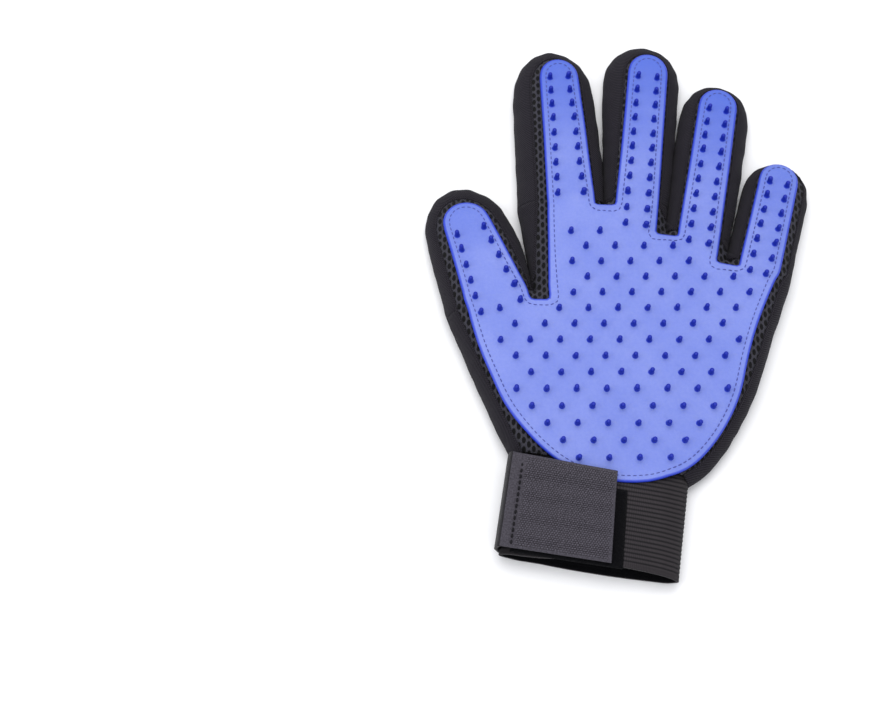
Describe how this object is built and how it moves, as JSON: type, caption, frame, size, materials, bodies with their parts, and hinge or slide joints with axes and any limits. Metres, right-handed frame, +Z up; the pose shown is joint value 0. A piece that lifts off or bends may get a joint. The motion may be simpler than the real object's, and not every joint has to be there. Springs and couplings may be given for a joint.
{
  "type": "grooming glove",
  "caption": "Five-finger pet grooming glove with a studded silicone palm, air mesh and knit cloth, an elastic cuff and a hook-and-loop wrist strap.",
  "frame": {"origin": "middle of the wrist line, where the hand joins the cuff, on the flat outer face of the back", "axes": "+Y from the wrist to the fingertips, +X from the thumb side to the little finger side, +Z up, out of the palm"},
  "size_m": [0.1627, 0.2427, 0.0182],
  "materials": {
    "silicone": "satin moulded silicone",
    "mesh": "black air mesh",
    "knit": "black polyester knit",
    "elastic": "black ribbed elastic",
    "loop": "black loop pile",
    "hook": "dark grey woven hook tape",
    "thread": "blue polyester thread",
    "black_thread": "black polyester thread"
  },
  "bodies": {
    "palm": {"back_panel": "knit", "elastic_band": "elastic", "index_middle_notch_thread": "thread", "index_middle_web": "knit", "little_side_gusset": "knit", "loop_patch": "loop", "middle_ring_notch_thread": "thread", "middle_ring_web": "knit", "palm_edge_thread": "thread", "palm_mesh": "mesh", "palm_pad": "silicone", "ring_little_notch_thread": "thread", "ring_little_web": "knit", "thumb_index_notch_thread": "thread", "thumb_index_web": "knit", "thumb_side_gusset": "knit"},
    "strap": {"hook_tape": "hook", "strap_thread": "black_thread"},
    "index": {"index_back": "knit", "index_gusset": "knit", "index_mesh": "mesh", "index_pad": "silicone", "index_pad_thread": "thread"},
    "little": {"little_back": "knit", "little_gusset": "knit", "little_mesh": "mesh", "little_pad": "silicone", "little_pad_thread": "thread"},
    "middle": {"middle_back": "knit", "middle_gusset": "knit", "middle_mesh": "mesh", "middle_pad": "silicone", "middle_pad_thread": "thread"},
    "ring": {"ring_back": "knit", "ring_gusset": "knit", "ring_mesh": "mesh", "ring_pad": "silicone", "ring_pad_thread": "thread"},
    "thumb": {"thumb_back": "knit", "thumb_gusset": "knit", "thumb_mesh": "mesh", "thumb_pad": "silicone", "thumb_pad_thread": "thread"}
  },
  "joints": [
    {"name": "thumb_curl", "type": "hinge", "parent": "palm", "child": "thumb", "pos_m": [-0.05522, 0.07402, 0.0147], "axis": [0.9478, 0.319, 0], "range_deg": [0, 60]},
    {"name": "index_curl", "type": "hinge", "parent": "palm", "child": "index", "pos_m": [-0.02332, 0.119, 0.0147], "axis": [0.999, 0.0454, 0], "range_deg": [0, 75]},
    {"name": "middle_curl", "type": "hinge", "parent": "palm", "child": "middle", "pos_m": [0.00484, 0.119, 0.0147], "axis": [0.9921, -0.1253, 0], "range_deg": [0, 75]},
    {"name": "ring_curl", "type": "hinge", "parent": "palm", "child": "ring", "pos_m": [0.02992, 0.10329, 0.0147], "axis": [0.9803, -0.1977, 0], "range_deg": [0, 75]},
    {"name": "little_curl", "type": "hinge", "parent": "palm", "child": "little", "pos_m": [0.05434, 0.08925, 0.0147], "axis": [0.9613, -0.2756, 0], "range_deg": [0, 75]},
    {"name": "strap_peel", "type": "hinge", "parent": "palm", "child": "strap", "pos_m": [-0.05284, -0.01172, 0.0138], "axis": [-0.1564, -0.9877, 0], "range_deg": [0, 165]}
  ]
}
